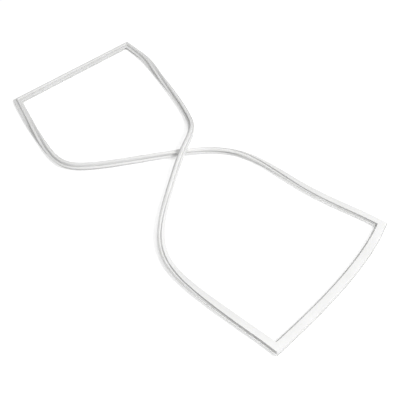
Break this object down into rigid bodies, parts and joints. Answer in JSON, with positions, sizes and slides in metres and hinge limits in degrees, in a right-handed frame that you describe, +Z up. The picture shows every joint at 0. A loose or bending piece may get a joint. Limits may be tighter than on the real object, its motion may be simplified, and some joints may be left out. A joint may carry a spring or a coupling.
{
  "type": "refrigerator door gasket",
  "caption": "Closed loop of soft white hollow profile with mitred corners, a magnetic strip in its front pocket and a push-in dart at the back, lying twisted into a figure of eight.",
  "frame": {"origin": "middle of the loop's bounding box, on the floor it lies on", "axes": "+X along the long axis of the figure of eight, +Y across it, +Z up"},
  "size_m": [1.3222, 0.5988, 0.0578],
  "materials": {
    "pvc": "satin",
    "magnet": "matte"
  },
  "bodies": {
    "root": {"gasket": "pvc", "magnet_left": "magnet", "magnet_back": "magnet", "magnet_right": "magnet", "magnet_front": "magnet"}
  },
  "joints": []
}
